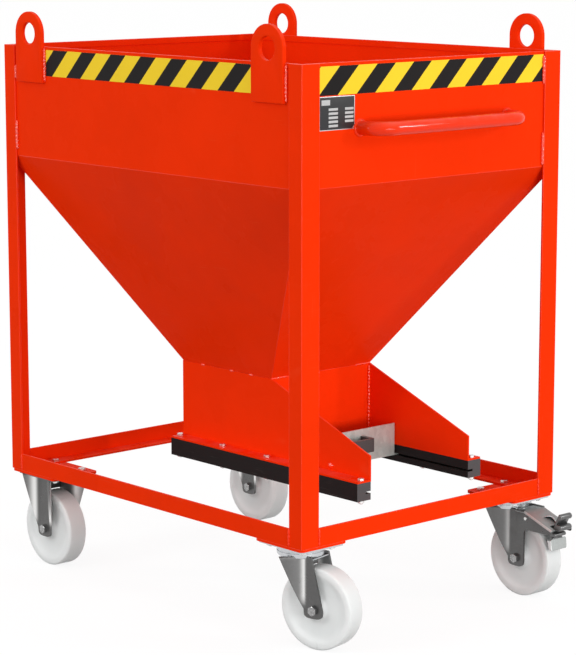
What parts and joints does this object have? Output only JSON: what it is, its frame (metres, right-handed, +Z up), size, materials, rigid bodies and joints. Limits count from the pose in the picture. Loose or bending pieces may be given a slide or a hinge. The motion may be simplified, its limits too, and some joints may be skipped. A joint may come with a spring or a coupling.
{
  "type": "cement silo container",
  "caption": "Wheeled steel hopper for bulk cement in an angle bar frame, with lifting eyes, push handle, swivel and fixed castors and a hand slide gate under the outlet.",
  "frame": {"origin": "floor level, under the middle of the whole outline", "axes": "+Z up, front (push handle and gate handle) towards -Y, +X to the right seen from the front"},
  "size_m": [0.79, 1.15, 1.325],
  "materials": {
    "red_paint": "glossy red-orange enamel on steel",
    "hazard_tape": "black and yellow slanted stripes",
    "data_plate": "blank data plate",
    "guide_plastic": "black sliding plastic",
    "bolt_zinc": "zinc plated steel",
    "castor_zinc": "zinc plated pressed steel",
    "bearing_steel": "hardened balls",
    "gate_zinc": "galvanised sheet",
    "grip_plastic": "dark grey plastic",
    "brake_zinc": "zinc plated steel",
    "wheel_nylon": "white polyamide"
  },
  "bodies": {
    "frame": {"post_front_left": "red_paint", "post_front_right": "red_paint", "post_rear_left": "red_paint", "post_rear_right": "red_paint", "rail_front": "red_paint", "rail_rear": "red_paint", "rail_left": "red_paint", "rail_right": "red_paint", "castor_pad_front_left": "red_paint", "castor_pad_front_right": "red_paint", "castor_pad_rear_left": "red_paint", "castor_pad_rear_right": "red_paint", "hopper_wall_front": "red_paint", "hopper_wall_rear": "red_paint", "hopper_wall_left": "red_paint", "hopper_wall_right": "red_paint", "chute_front_wall": "red_paint", "chute_rear_wall": "red_paint", "chute_skirt_left": "red_paint", "chute_skirt_right": "red_paint", "lifting_eye_front_left": "red_paint", "lifting_eye_front_right": "red_paint", "lifting_eye_rear_left": "red_paint", "lifting_eye_rear_right": "red_paint", "push_handle": "red_paint", "hazard_tape": "hazard_tape", "data_plate": "data_plate", "guide_rail_left": "guide_plastic", "guide_rail_right": "guide_plastic", "guide_rail_bolts": "bolt_zinc", "guide_rail_nuts": "bolt_zinc", "castor_bolts": "bolt_zinc", "castor_nuts": "bolt_zinc", "rear_axle_bolts": "bolt_zinc", "rear_axle_nuts": "bolt_zinc", "rear_axle_sleeves": "bolt_zinc", "kingpins": "bolt_zinc", "fixed_bracket_left": "castor_zinc", "fixed_bracket_right": "castor_zinc", "swivel_plate_left": "castor_zinc", "swivel_plate_right": "castor_zinc", "swivel_balls": "bearing_steel"},
    "slide_gate": {"gate": "gate_zinc", "gate_handle": "grip_plastic", "gate_handle_screws": "bolt_zinc"},
    "swivel_left": {"fork_left": "castor_zinc", "front_left_axle_bolt": "bolt_zinc", "front_left_axle_nut": "bolt_zinc", "front_left_axle_sleeve": "bolt_zinc"},
    "swivel_right": {"fork_right": "castor_zinc", "front_right_axle_bolt": "bolt_zinc", "front_right_axle_nut": "bolt_zinc", "front_right_axle_sleeve": "bolt_zinc", "brake_housing": "castor_zinc", "brake_pin": "bolt_zinc"},
    "brake_pedal": {"brake_pedal": "brake_zinc"},
    "wheel_front_left": {"wheel_front_left": "wheel_nylon"},
    "wheel_front_right": {"wheel_front_right": "wheel_nylon"},
    "wheel_rear_left": {"wheel_rear_left": "wheel_nylon"},
    "wheel_rear_right": {"wheel_rear_right": "wheel_nylon"}
  },
  "joints": [
    {"name": "gate_slide", "type": "slide", "parent": "frame", "child": "slide_gate", "axis": [0, -1, 0], "range_m": [0, 0.3]},
    {"name": "castor_swivel_left", "type": "hinge", "parent": "frame", "child": "swivel_left", "pos_m": [-0.324, -0.397, 0.21], "axis": [0, 0, 1], "continuous": true},
    {"name": "castor_swivel_right", "type": "hinge", "parent": "frame", "child": "swivel_right", "pos_m": [0.324, -0.397, 0.21], "axis": [0, 0, 1], "continuous": true},
    {"name": "wheel_front_left_spin", "type": "hinge", "parent": "swivel_left", "child": "wheel_front_left", "pos_m": [-0.31163, -0.45059, 0.09], "axis": [0.9744, 0.225, 0], "continuous": true},
    {"name": "wheel_front_right_spin", "type": "hinge", "parent": "swivel_right", "child": "wheel_front_right", "pos_m": [0.324, -0.452, 0.09], "axis": [1, 0, 0], "continuous": true},
    {"name": "wheel_rear_left_spin", "type": "hinge", "parent": "frame", "child": "wheel_rear_left", "pos_m": [-0.324, 0.485, 0.09], "axis": [1, 0, 0], "continuous": true},
    {"name": "wheel_rear_right_spin", "type": "hinge", "parent": "frame", "child": "wheel_rear_right", "pos_m": [0.324, 0.485, 0.09], "axis": [1, 0, 0], "continuous": true},
    {"name": "brake_pedal_press", "type": "hinge", "parent": "swivel_right", "child": "brake_pedal", "pos_m": [0.324, -0.484, 0.1888], "axis": [1, 0, 0], "range_deg": [0, 9]}
  ]
}
